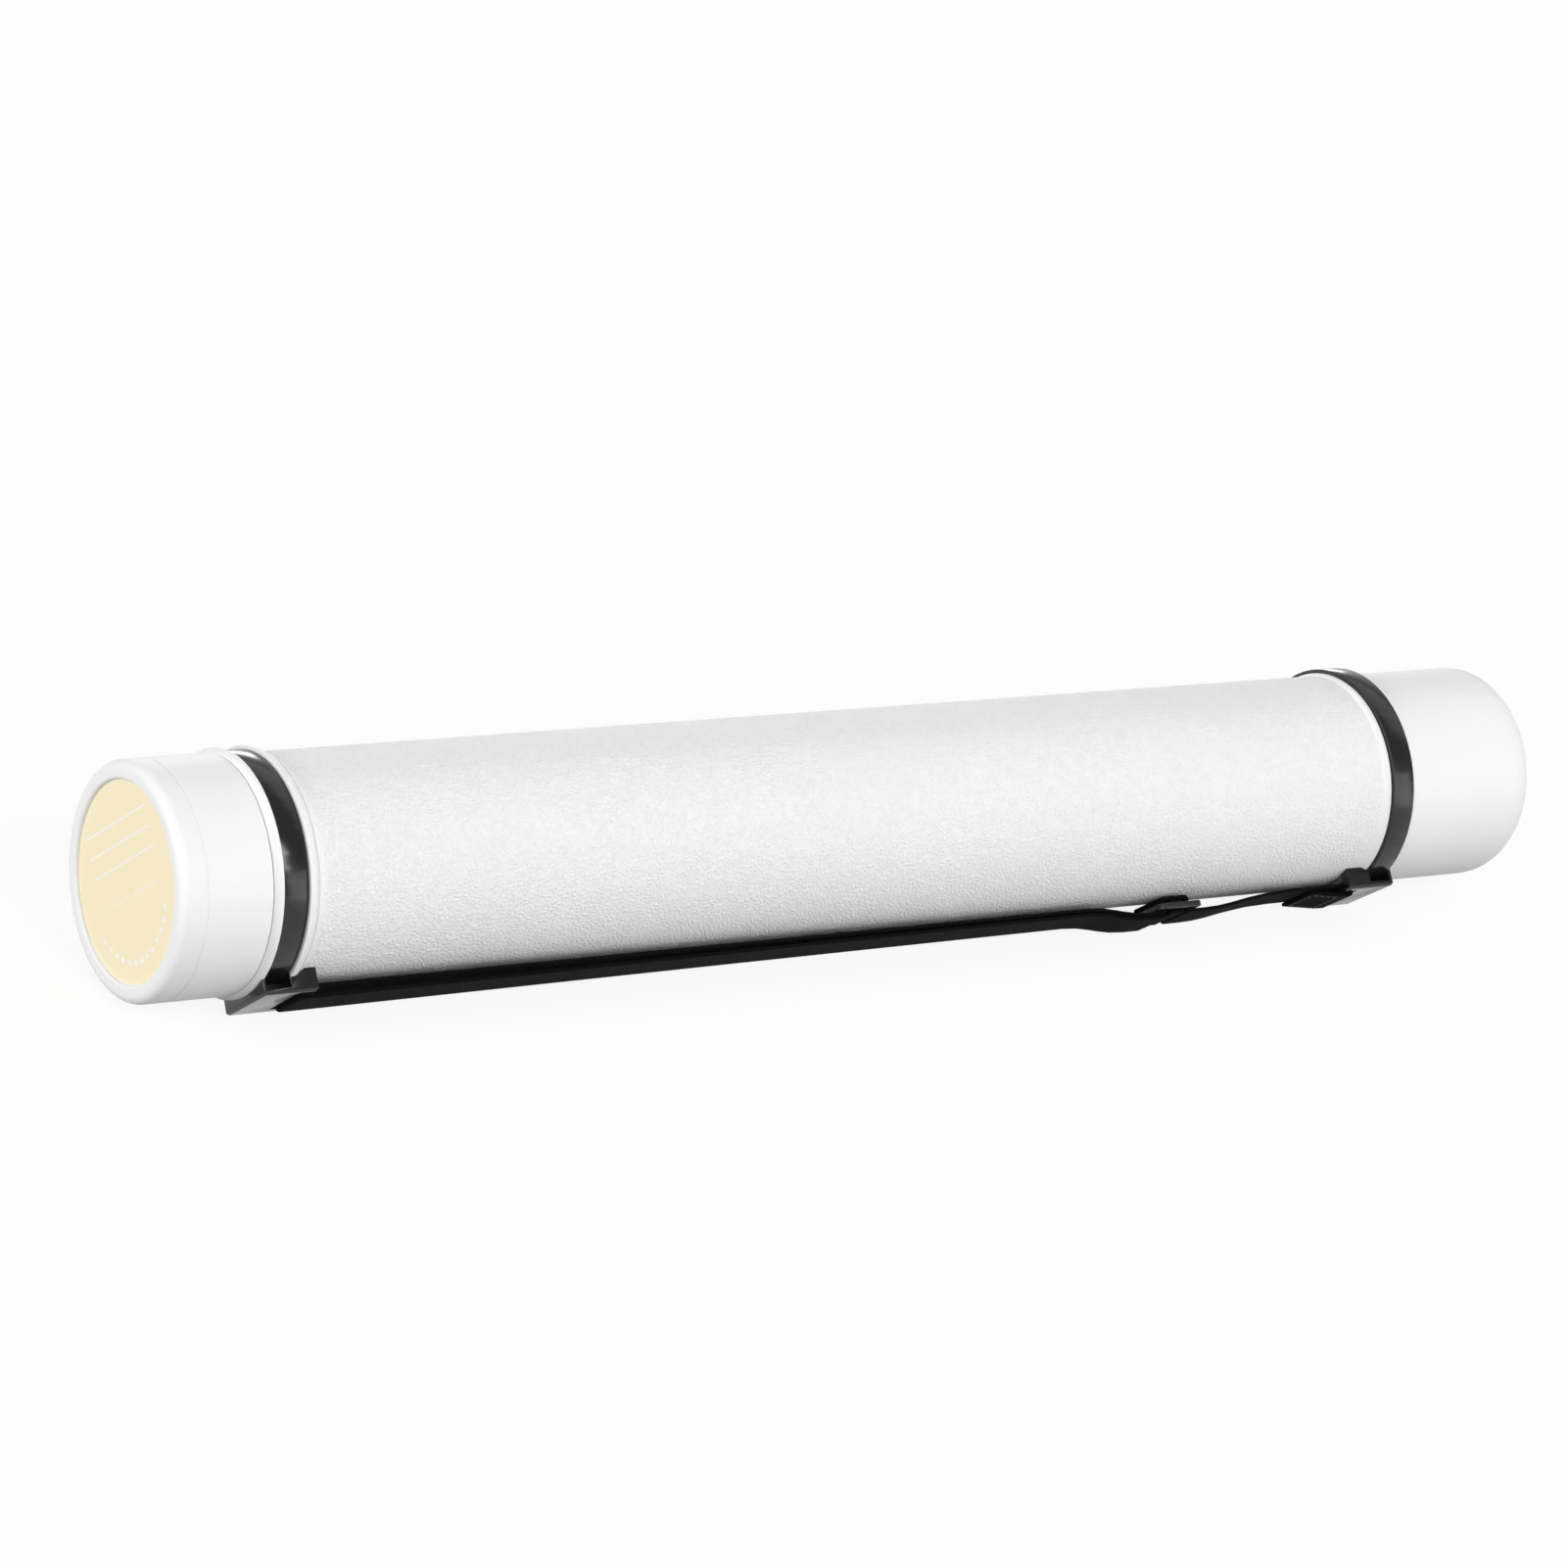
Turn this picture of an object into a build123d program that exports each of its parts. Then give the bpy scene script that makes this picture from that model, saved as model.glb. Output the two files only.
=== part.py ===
"""Carrying tube for rolled posters: a moulded plastic tube with a screw cap, two clamped bands and a strap.

The tube lies along X. Its closed base is at x = 0, facing +X, and the cap is at the far end, towards -X.
The tube lies on its beads and bands, and the corner of the two strap brackets keeps it from rolling.
"""
from build123d import *
import os
from math import acos, atan2, degrees, hypot

# Tube body, in millimetres
tube_radius = 42.5
tube_wall = 2.0
body_length = 585.0          # from the base to the shoulder that the cap closes against
base_fillet = 12.0
smooth_end_step = 0.4        # the smooth end past the rear band is this much smaller in radius
neck_wall = 2.0
neck_length = 32.0

# Beads that keep the bands in place
bead_height = 2.6
mouth_bead_width = 3.2
inner_bead_width = 6.1
rear_bead_height = 1.1
rear_bead_width = 3.0
bead_fullness = 0.8          # share of the height that a bead has halfway up its flank

# Bands and their strap brackets
band_width = 10.0
band_thickness = 2.4
band_fit = 0.2               # between a band and its seat, all round
rear_band_from_base = 73.5   # to the middle of the band
bracket_length = 22.0
bracket_width = 30.4
bracket_height = 5.8         # from the tube's surface to the flat outer face
bracket_end_wall = 1.2
bracket_bevel = 0.8
bracket_plate = 2.0
bracket_core_width = 16.0    # solid middle under the band, between the two side pockets
strap_bar_width = 3.6
strap_slot_length = 3.4

# Screw cap and its label
cap_overhang = 0.9           # how far the skirt stands out from the tube
cap_wall = 2.0
thread_gap = 1.4             # between the neck and the skirt, for the thread
cap_seam = 0.3               # between the cap's skirt and the shoulder
cap_roof = 2.2
neck_gap = 0.55              # between the neck's mouth and the cap's roof
cap_edge_fillet = 3.6
cap_lip_length = 9.8         # from the rim to the groove round the skirt
cap_groove_width = 0.8
cap_groove_depth = 0.4
cap_rim_width = 6.9          # flat and rounded rim round the sunk face
label_thickness = 0.25
label_fit = 0.4              # between the label's edge and the recess
label_sunk = 1.5             # the label's face lies this far behind the cap's rim

# Strap and slider
strap_width = 20.0
strap_thickness = 1.4
strap_fit = 0.25             # between the strap and what it goes round
strap_sag = 1.0              # how far the outer layer hangs out halfway along
strap_bend_share = 0.9       # share of the room beside a bar that a bend of the strap takes up
sewn_length = 16.0           # how far the strap's end is folded back at the rear bracket
slider_from_base = 173.0     # to the middle of the slider
slider_bar = 3.6
slider_slot = 5.0
slider_thickness = 2.2
slider_rail = 2.2
slider_side_fit = 0.8        # between the strap's edge and the slider's rail
slider_corner = 2.0
slider_height = 3.7          # from the tube's surface to the slider's inner face

# Sizes that follow from those above
crest_radius = tube_radius + bead_height
smooth_end_radius = tube_radius - smooth_end_step
shoulder_x = -body_length
mouth_x = shoulder_x - neck_length
groove_width = band_width + 2 * band_fit
front_groove_x = shoulder_x + mouth_bead_width
front_band_x = front_groove_x + groove_width / 2
rear_band_x = -rear_band_from_base
band_inner = tube_radius + band_fit
band_outer = band_inner + band_thickness
rest_radius = max(crest_radius, band_outer)
cap_radius = tube_radius + cap_overhang
neck_radius = cap_radius - cap_wall - thread_gap
recess_radius = cap_radius - cap_rim_width
label_radius = recess_radius - label_fit
cap_end_x = shoulder_x - cap_seam
roof_x = mouth_x - neck_gap
recess_x = roof_x - cap_roof
label_face_x = recess_x - label_thickness
cap_rim_x = label_face_x - label_sunk
bracket_face = tube_radius + bracket_height
bracket_inner_face = bracket_face - bracket_plate
corner_across = bracket_width / 2 - bracket_bevel
bracket_angle = degrees(
    atan2(corner_across, bracket_face) + acos(rest_radius / hypot(corner_across, bracket_face))
)
slider_face = tube_radius + slider_height
slider_x = -slider_from_base
slider_length = 3 * slider_bar + 2 * slider_slot
slider_width = strap_width + 2 * (slider_side_fit + slider_rail)


def turned(outline):
    """Solid of revolution about X of a closed outline in the XY plane."""
    return revolve(make_face(outline), Axis.X)


def bead_flank(foot, crest):
    """Flank of a bead, from its foot to its crest: steep at first, then nearly level."""
    middle = ((foot[0] + crest[0]) / 2, foot[1] + bead_fullness * (crest[1] - foot[1]))
    return [Line(foot, middle), Line(middle, crest)]


def tube_outside(extra=0.0):
    """Outer line of the tube from the base's centre to the shoulder, moved out by an allowance."""
    rear_groove = (rear_band_x + groove_width / 2, rear_band_x - groove_width / 2)
    front_groove = (front_groove_x + groove_width, front_groove_x)
    body = tube_radius + extra
    end = smooth_end_radius + extra
    low_crest = body + rear_bead_height
    crest = crest_radius + extra
    rear_feet = (rear_groove[0] + rear_bead_width, rear_groove[1] - rear_bead_width)
    inner_foot = front_groove[0] + inner_bead_width
    return [
        Line((0, 0), (0, end - base_fillet)),
        CenterArc((-base_fillet, end - base_fillet), base_fillet, 0, 90),
        Line((-base_fillet, end), (rear_feet[0], end)),
        *bead_flank((rear_feet[0], end), (rear_groove[0], low_crest)),
        Line((rear_groove[0], low_crest), (rear_groove[0], body)),
        Line((rear_groove[0], body), (rear_groove[1], body)),
        Line((rear_groove[1], body), (rear_groove[1], low_crest)),
        *bead_flank((rear_feet[1], body), (rear_groove[1], low_crest)),
        Line((rear_feet[1], body), (inner_foot, body)),
        *bead_flank((inner_foot, body), (front_groove[0], crest)),
        Line((front_groove[0], crest), (front_groove[0], body)),
        Line((front_groove[0], body), (front_groove[1], body)),
        Line((front_groove[1], body), (front_groove[1], crest)),
        *bead_flank((shoulder_x, cap_radius + extra), (front_groove[1], crest)),
    ]


def make_tube_body():
    """Hollow body with a rounded closed base, beads beside both bands and a plain neck for the thread."""
    inner = tube_radius - tube_wall
    neck_inner = neck_radius - neck_wall
    neck_end_x = front_groove_x
    inner_corner = base_fillet - tube_wall
    outline = tube_outside() + [
        Line((shoulder_x, cap_radius), (shoulder_x, neck_radius)),
        Line((shoulder_x, neck_radius), (mouth_x, neck_radius)),
        Line((mouth_x, neck_radius), (mouth_x, neck_inner)),
        Line((mouth_x, neck_inner), (neck_end_x, neck_inner)),
        Line((neck_end_x, neck_inner), (neck_end_x + inner - neck_inner, inner)),
        Line((neck_end_x + inner - neck_inner, inner), (-tube_wall - inner_corner, inner)),
        Line((-tube_wall - inner_corner, inner), (-tube_wall, inner - inner_corner)),
        Line((-tube_wall, inner - inner_corner), (-tube_wall, 0)),
        Line((-tube_wall, 0), (0, 0)),
    ]
    return turned(outline)


def make_screw_cap():
    """Cap with a rounded rim, a sunk face for the label and a fine groove round its skirt."""
    inner = cap_radius - cap_wall
    fillet_x = cap_rim_x + cap_edge_fillet
    fillet_radius = cap_radius - cap_edge_fillet
    groove_x = cap_rim_x + cap_lip_length
    groove_end_x = groove_x + cap_groove_width
    groove_floor = (groove_x + cap_groove_width / 2, cap_radius - cap_groove_depth)
    outline = [
        Line((recess_x, 0), (recess_x, recess_radius)),
        Line((recess_x, recess_radius), (cap_rim_x, recess_radius)),
        Line((cap_rim_x, recess_radius), (cap_rim_x, fillet_radius)),
        CenterArc((fillet_x, fillet_radius), cap_edge_fillet, 90, 90),
        Line((fillet_x, cap_radius), (groove_x, cap_radius)),
        Line((groove_x, cap_radius), groove_floor),
        Line(groove_floor, (groove_end_x, cap_radius)),
        Line((groove_end_x, cap_radius), (cap_end_x, cap_radius)),
        Line((cap_end_x, cap_radius), (cap_end_x, inner)),
        Line((cap_end_x, inner), (roof_x, inner)),
        Line((roof_x, inner), (roof_x, 0)),
        Line((roof_x, 0), (recess_x, 0)),
    ]
    return turned(outline)


def make_cap_label():
    """Round label that lies on the cap's sunk face."""
    disc = Plane((recess_x, 0, 0), z_dir=(-1, 0, 0)) * Circle(label_radius)
    return extrude(disc, label_thickness)


def hang(solid):
    """Turns what is modelled straight under the tube to where the brackets sit."""
    return Rot(X=-bracket_angle) * solid


def block(x_range, y_range, depth_range):
    """Box given by its limits along the tube, across it and in depth below the axis."""
    size = (x_range[1] - x_range[0], y_range[1] - y_range[0], depth_range[1] - depth_range[0])
    middle = (sum(x_range) / 2, sum(y_range) / 2, -sum(depth_range) / 2)
    return Pos(*middle) * Box(*size)


def bar_limits(band_x, inward):
    """Ends of the bar that the strap goes round, along the tube, the end by the slot first."""
    outer_end = band_x - inward * (band_width / 2 + bracket_end_wall)
    inner_end = outer_end + inward * bracket_length
    return inner_end - inward * strap_bar_width, inner_end


def make_band(band_x, inward):
    """Clamped ring with its bracket: a flat plate on two wings, with a slot and a bar for the strap.

    The bracket reaches along the tube in the direction of inward, which is +1 or -1.
    """
    half = bracket_width / 2
    ring_face = Pos(band_x, (band_inner + band_outer) / 2) * Rectangle(band_width, band_thickness)
    ring = revolve(ring_face, Axis.X)

    band_ends = (band_x - band_width / 2, band_x + band_width / 2)
    outer_end = band_x - inward * (band_width / 2 + bracket_end_wall)
    bar_start, inner_end = bar_limits(band_x, inward)
    slot_start = bar_start - inward * strap_slot_length
    ends = sorted((outer_end, inner_end))
    plate = block(ends, (-half, half), (0, bracket_face))
    plate = chamfer(plate.faces().sort_by(Axis.Z)[0].edges(), bracket_bevel)
    plate -= turned(tube_outside(band_fit) + [
        Line((shoulder_x, cap_radius + band_fit), (shoulder_x, 0)),
        Line((shoulder_x, 0), (0, 0)),
    ])

    strap_gap = strap_width / 2 + slider_side_fit
    plate -= block(sorted((slot_start, inner_end)), (-strap_gap, strap_gap), (0, bracket_inner_face))
    plate -= block(sorted((slot_start, bar_start)), (-strap_gap, strap_gap), (0, bracket_face))
    core = bracket_core_width / 2
    for pocket in ((core, half), (-half, -core)):
        plate -= block(band_ends, pocket, (0, bracket_inner_face))
    return hang(plate + ring)


def ribbon(points, thickness, bend):
    """Outline of a ribbon of even thickness along a line of points, with round bends at its middle line."""
    path = [Vector(*point) for point in points]
    runs = [(after - before).normalized() for before, after in zip(path, path[1:])]
    normals = [Vector(-run.Y, run.X) for run in runs]
    edges = []
    for side in (1, -1):
        offset_by = side * thickness / 2
        line = [path[0] + normals[0] * offset_by]
        radii = []
        for point, before, after in zip(path[1:-1], normals, normals[1:]):
            line.append(point + (before + after) * (offset_by / (1 + before.dot(after))))
            turn = before.cross(after).Z
            radii.append(bend - offset_by if turn > 0 else bend + offset_by)
        line.append(path[-1] + normals[-1] * offset_by)
        edges.append(FilletPolyline(*line, radius=radii))
    ends = [Line(edges[0] @ end, edges[1] @ end) for end in (0, 1)]
    return edges + ends


def strap_layer_depths():
    """Depths of the strap's middle line inside and outside a bracket's bar and the slider's bars."""
    clear = strap_fit + strap_thickness / 2
    bar = (bracket_inner_face - clear, bracket_face + clear)
    slider = (slider_face - clear, slider_face + slider_thickness + clear)
    return clear, bar, slider


def make_carrying_strap():
    """One length of webbing, from the rear bar through the slider, round the front bar and back.

    Its middle line is drawn from the side and given its thickness and width.
    """
    clear, bar_depth, slider_depth = strap_layer_depths()
    layer = strap_thickness + strap_fit
    front_bar = bar_limits(front_band_x, 1)
    rear_bar = bar_limits(rear_band_x, -1)
    front_turn = front_bar[0] - clear
    rear_turn = rear_bar[0] + clear
    slot_near = slider_bar / 2 + clear
    slot_far = slider_bar / 2 + slider_slot - clear
    under_loop = slider_depth[0] - layer
    over_run = slider_depth[1] + layer
    half_way = (front_turn + slider_x) / 2
    sewn_end = rear_bar[1] - sewn_length
    run_length = rear_bar[1] - (slider_x + slider_length)
    sewn_rise = (slider_depth[1] - bar_depth[0]) * sewn_length / run_length
    bend = strap_bend_share * clear
    route = [
        (sewn_end, bar_depth[0] + sewn_rise + layer),
        (rear_bar[1], bar_depth[1]),
        (rear_turn, bar_depth[1]),
        (rear_turn, bar_depth[0]),
        (rear_bar[1], bar_depth[0]),
        (slider_x + slider_length, slider_depth[1]),
        (slider_x + slot_far, slider_depth[1]),
        (slider_x + slot_far, under_loop),
        (slider_x - slot_far, under_loop),
        (slider_x - slot_far, slider_depth[1]),
        (slider_x - slider_length, slider_depth[1]),
        (front_bar[1], bar_depth[0]),
        (front_turn, bar_depth[0]),
        (front_turn, bar_depth[1]),
        (front_bar[1], bar_depth[1]),
        (half_way, (bar_depth[1] + over_run) / 2 + strap_sag),
        (slider_x - slot_far, over_run),
        (slider_x - slot_near, slider_depth[1]),
        (slider_x + slot_near, slider_depth[1]),
        (slider_x + slot_near, slider_depth[0]),
        (slider_x - slot_near, slider_depth[0]),
        (slider_x - slot_near, slider_depth[1] - clear),
    ]
    outline = ribbon([(x, -depth) for x, depth in route], strap_thickness, bend)
    return hang(extrude(Plane.XZ * make_face(outline), strap_width / 2, both=True))


def make_strap_slider():
    """Flat three-bar slider: a rounded frame with two slots beside a middle bar."""
    frame = RectangleRounded(slider_length, slider_width, slider_corner)
    slot_pitch = slider_slot + slider_bar
    slot = Rectangle(slider_slot, slider_width - 2 * slider_rail)
    for side in (-1, 1):
        frame -= Pos(side * slot_pitch / 2, 0) * slot
    plate = extrude(frame, slider_thickness)
    return hang(Pos(slider_x, 0, -slider_face - slider_thickness) * plate)


os.makedirs("parts", exist_ok=True)
nodes = {
    "tube_body": make_tube_body(),
    "screw_cap": make_screw_cap(),
    "cap_label": make_cap_label(),
    "front_band": make_band(front_band_x, 1),
    "rear_band": make_band(rear_band_x, -1),
    "carrying_strap": make_carrying_strap(),
    "strap_slider": make_strap_slider(),
}
for name, solid in nodes.items():
    export_step(solid, f"parts/{name}.step")
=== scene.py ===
"""Poster tube: rounded shells, thread, webbing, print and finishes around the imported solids.

Everything is in metres, in the part's own frame: X runs along the tube, the closed base is at x = 0, the cap
is towards -X and the floor lies under the tube.
"""
from collections import namedtuple
from contextlib import contextmanager
from math import acos, atan2, ceil, cos, hypot, pi, radians, sin, tan

import bmesh
import bpy
import numpy as np
from mathutils import Matrix, Vector


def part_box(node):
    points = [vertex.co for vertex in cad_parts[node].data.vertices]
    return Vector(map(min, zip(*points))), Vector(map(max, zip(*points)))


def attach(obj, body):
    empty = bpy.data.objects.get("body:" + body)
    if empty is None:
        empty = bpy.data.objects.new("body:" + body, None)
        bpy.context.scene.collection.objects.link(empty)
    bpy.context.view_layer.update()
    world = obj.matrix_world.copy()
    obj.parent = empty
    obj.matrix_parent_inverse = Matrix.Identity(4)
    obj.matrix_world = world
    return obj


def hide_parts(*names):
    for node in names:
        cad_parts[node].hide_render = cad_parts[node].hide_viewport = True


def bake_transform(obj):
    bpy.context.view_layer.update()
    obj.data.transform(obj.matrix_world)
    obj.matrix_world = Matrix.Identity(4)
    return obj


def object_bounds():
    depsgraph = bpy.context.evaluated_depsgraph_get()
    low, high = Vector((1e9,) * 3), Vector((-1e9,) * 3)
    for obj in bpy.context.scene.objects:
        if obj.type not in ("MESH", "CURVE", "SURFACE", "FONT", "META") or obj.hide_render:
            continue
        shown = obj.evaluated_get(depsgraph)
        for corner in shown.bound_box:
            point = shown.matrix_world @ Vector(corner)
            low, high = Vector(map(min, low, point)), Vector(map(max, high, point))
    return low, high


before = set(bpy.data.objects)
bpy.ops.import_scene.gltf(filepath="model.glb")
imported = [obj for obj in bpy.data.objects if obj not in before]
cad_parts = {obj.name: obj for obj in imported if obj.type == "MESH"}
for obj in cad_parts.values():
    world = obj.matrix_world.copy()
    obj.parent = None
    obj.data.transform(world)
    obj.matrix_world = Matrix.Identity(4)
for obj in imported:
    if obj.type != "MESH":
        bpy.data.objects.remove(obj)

CAD_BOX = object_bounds()
MM = 0.001
NEARLY = 1e-6                    # two measures nearer than this count as the same
MERGE_WITHIN = 1e-7              # points of a new piece nearer than this become one

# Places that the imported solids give
TUBE_LOW, TUBE_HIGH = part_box("tube_body")
CAP_LOW, CAP_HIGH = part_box("screw_cap")
LABEL_LOW, LABEL_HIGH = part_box("cap_label")
FRONT_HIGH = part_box("front_band")[1]
REAR_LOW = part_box("rear_band")[0]
SLIDER_LOW, SLIDER_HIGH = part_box("strap_slider")
FLOOR_Z = CAD_BOX[0].z

# Tube shell
AROUND = 256                     # points round the tube and the cap
TUBE_RADIUS = 42.5 * MM
SMOOTH_END_RADIUS = 42.1 * MM
BORE_RADIUS = 40.5 * MM
BASE_WALL = 2.0 * MM
BASE_FILLET = 12.0 * MM
INNER_CORNER = 10.0 * MM
NECK_RADIUS = 40.0 * MM
NECK_BORE = 38.0 * MM
SHOULDER_X = -585.0 * MM
FRONT_GROOVE = (-571.4 * MM, -581.8 * MM)
REAR_GROOVE = (-68.3 * MM, -78.7 * MM)
REAR_BEAD_WIDTH = 3.0 * MM
REAR_FEET = (REAR_GROOVE[0] + REAR_BEAD_WIDTH, REAR_GROOVE[1] - REAR_BEAD_WIDTH)
REAR_CREST = 43.6 * MM
INNER_BEAD_FOOT = -565.3 * MM
INNER_LEDGE_X = -567.1 * MM
INNER_LEDGE_RISE = 0.55 * MM
BEAD_POWER = 2.32                # makes a bead steep at its foot and nearly level at its crest
INNER_BEAD_POWER = 3.4
BEAD_SUPPORT = 0.3 * MM          # distance before a bead's foot of the point that keeps the level straight
FINE_LINE_WIDTH = 0.7 * MM       # of the fine line at the inner bead's foot
FINE_LINE_DEPTH = 0.9 * MM
GRAIN_EDGE = 1.5 * MM            # distance over which the grain comes in beside a bead
SOFT_EDGE = 0.35 * MM
SOFT_CORNER = 0.2 * MM

# Thread on the neck and in the cap
THREAD_PITCH = 6.0 * MM
THREAD_TURNS = 3.0
THREAD_FADE = 0.12               # turns over which the ridge fades out at each end
THREAD_HEIGHT = 0.6 * MM
THREAD_HALF_WIDTH = 0.7 * MM
THREAD_FLANK = 0.9 * MM
THREAD_START_X = -609.0 * MM
THREAD_ROW = 0.5 * MM            # distance between the rows of points that carry the thread
THREAD_MARGIN = 1.5 * MM         # plain length left at both ends of those rows

# Cap
CAP_BORE = 41.4 * MM
CAP_ROOF_X = -617.55 * MM
RECESS_X = LABEL_HIGH.x
RECESS_RADIUS = 36.5 * MM
RECESS_EDGE = 1.0 * MM
CAP_EDGE_FILLET = 3.6 * MM
CAP_GROOVE_X = -611.7 * MM
CAP_GROOVE_WIDTH = 0.8 * MM
CAP_GROOVE_DEPTH = 0.4 * MM
CAP_INNER_FILLET = 1.0 * MM

# Label print, in the label's own directions: along its ruled lines and across them
LABEL_TILT = 21.5                # degrees that the ruled lines rise, with the tube upright
RULED_LINES = (21.7 * MM, 14.25 * MM, 6.85 * MM)
RULED_HALF_LENGTH = 24.0 * MM
RULED_WIDTH = 0.7 * MM
DOTTED_LINE = -5.4 * MM
DOTTED_HALF_LENGTH = 19.5 * MM
DOT_COUNT = 14
DOT_WIDTH = 1.1 * MM
ARC_RADIUS = 28.5 * MM
ARC_HALF_ANGLE = 62.0
ARC_DASHES = 13
ARC_DASH_SHARE = 0.55            # share of a dash's pitch that is inked
ARC_WIDTH = 2.2 * MM
INK_HEIGHT = 0.03 * MM

# Bands and slider
BAND_RADIUS = FRONT_HIGH.z
RING_TOLERANCE = 0.02 * MM       # how near the band's radius a point of the ring's outer face lies
FRONT_RING_RADIUS = 43.9 * MM    # the front ring lies a little below the beads beside it
FRONT_BAND_EDGE = 0.35 * MM
REAR_BAND_EDGE = 0.09 * MM       # under half of the narrowest step beside its ring, so that edges don't meet
SLIDER_EDGE = 0.45 * MM
EDGE_SEGMENTS = 3
EDGE_ANGLE = 32.0                # degrees from which an edge is rounded
FLAT_ANGLE = 0.5                 # degrees up to which neighbouring faces are made one
BRACKET_FACE = 48.3 * MM
BRACKET_INNER_FACE = 46.3 * MM
BRACKET_CORNER = 14.4 * MM       # half the width of the bracket's outer face
BAR_WIDTH = 3.6 * MM
SLIDER_BAR = 3.6 * MM
SLIDER_SLOT = 5.0 * MM
SLIDER_FACE = 46.2 * MM
SLIDER_THICKNESS = 2.2 * MM

# Turn about the tube that lays a corner of the bracket on the floor
BRACKET_ANGLE = atan2(BRACKET_CORNER, BRACKET_FACE) + acos(-FLOOR_Z / hypot(BRACKET_CORNER, BRACKET_FACE))

# Strap and stitches
STRAP_WIDTH = 20.0 * MM
STRAP_THICKNESS = 1.4 * MM
STRAP_FIT = 0.25 * MM
STRAP_SAG = 1.0 * MM             # how far the outer layer stands off the inner one half way along
STRAP_STEP = 3.0 * MM            # longest distance between two rings of points
TIGHT_BEND = 0.855 * MM
SHARP_TURN = 50.0                # degrees from which a corner gets the tight bend
STRAIGHT_TURN = 0.1              # degrees up to which a corner gets none
WIDE_BEND_SHARE = 0.45           # share of the shorter run that a wide bend takes up
FRONT_RISE = 36.0 * MM           # distance from the slider at which the two front layers leave the tube
REAR_RISE = 48.0 * MM            # and the single rear one
SEWN_LENGTH = 16.0 * MM
WEAVE_ALONG = 1.3 * MM           # pitch of the webbing's threads
WEAVE_ACROSS = 0.8 * MM
STITCH_HALF_LENGTH = 1.2 * MM
STITCH_GIRTH = 0.32 * MM
STITCH_MARGIN = 2.0 * MM
STITCH_PITCH = 3.0 * MM
STITCH_RINGS = 7
STITCH_SIDES = 8

# Finishes, each between two tones
WHITE_TONES = ((0.865, 0.865, 0.865), (0.895, 0.895, 0.893))
BLACK_TONES = ((0.006, 0.006, 0.0065), (0.012, 0.012, 0.0125))
PAPER_TONES = ((0.955, 0.840, 0.580), (0.975, 0.860, 0.600))
INK_TONES = ((0.96, 0.91, 0.86), (0.98, 0.94, 0.90))
# the webbing's light tone is painted light on the thread tops, its dark tone painted shade between them
WEBBING_TONES = ((0.0015, 0.0015, 0.001625), (0.006, 0.006, 0.0065))
SEWING_TONES = ((0.012, 0.012, 0.012), (0.035, 0.035, 0.036))
BROAD_SHARE = 0.65               # of the mottle, the rest is fine
FINE_MOTTLE = 14.0               # how much finer that rest is
GRAIN_CELLS = 560.0              # per metre
GRAIN_FINE_SHARE = 0.3
GRAIN_DEPTH = 0.22 * MM
GRAIN_DULLNESS = 0.08            # roughness that the grain adds
GRAIN_WANDER = 1.6 * MM          # how far the creases stray
GRAIN_CREASE = 0.30              # share of a cell over which its top is rounded
WEAVE_DEPTH = 0.25 * MM
CROSSING_SHARE = 0.7             # of the weave's height, the rest is ribs
CROSSING_POWER = 0.6

# View of the photograph, with the tube upright: the strap nearly under it
CAMERA_YAW = 34.30
CAMERA_PITCH = 6.69
CAMERA_AIM = Vector((-0.3407, 0.0, 0.0162))
CAMERA_DISTANCE = 2.217
CAMERA_LENS = 134.9
CAMERA_SENSOR = 36.0
CAMERA_CLIP = 60.0
CAMERA_TURN = 21.5               # degrees about the tube from upright to the way it rests on the floor

# Stage
FLOOR_HALF = 12.0
FLOOR_BOUNCE = 0.28              # how much light the floor throws back at the tube
FLOOR_SHADOW = 0.11              # how much of the seen floor's white follows the light that falls on it

# Room light as (height, brightness), from the horizon to overhead
ROOM_LIGHT = ((0.0, 0.72), (0.20, 0.62), (0.45, 0.36), (0.70, 0.32), (1.0, 0.38))

# Lamps, with yaw and pitch in degrees from the upright tube, sizes in metres and power in watts
Softbox = namedtuple("Softbox", "name yaw pitch distance width height power")
SOFTBOXES = (
    Softbox("front softbox", -1.0, 14.0, 4.0, 1.9, 1.4, 71.0),
    Softbox("corner softbox", 48.0, 14.0, 4.0, 1.9, 1.4, 22.0),
    Softbox("cap softbox", 98.0, 16.0, 4.0, 1.9, 1.4, 71.0),
    Softbox("back softbox", -150.0, 20.0, 4.0, 1.9, 1.4, 45.0),
    Softbox("overhead softbox", -97.0, 56.0, 3.0, 4.0, 1.6, 12.0),
    Softbox("side softbox", -34.0, -6.0, 2.5, 2.0, 1.1, 11.0),
)


# Shapes

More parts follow.
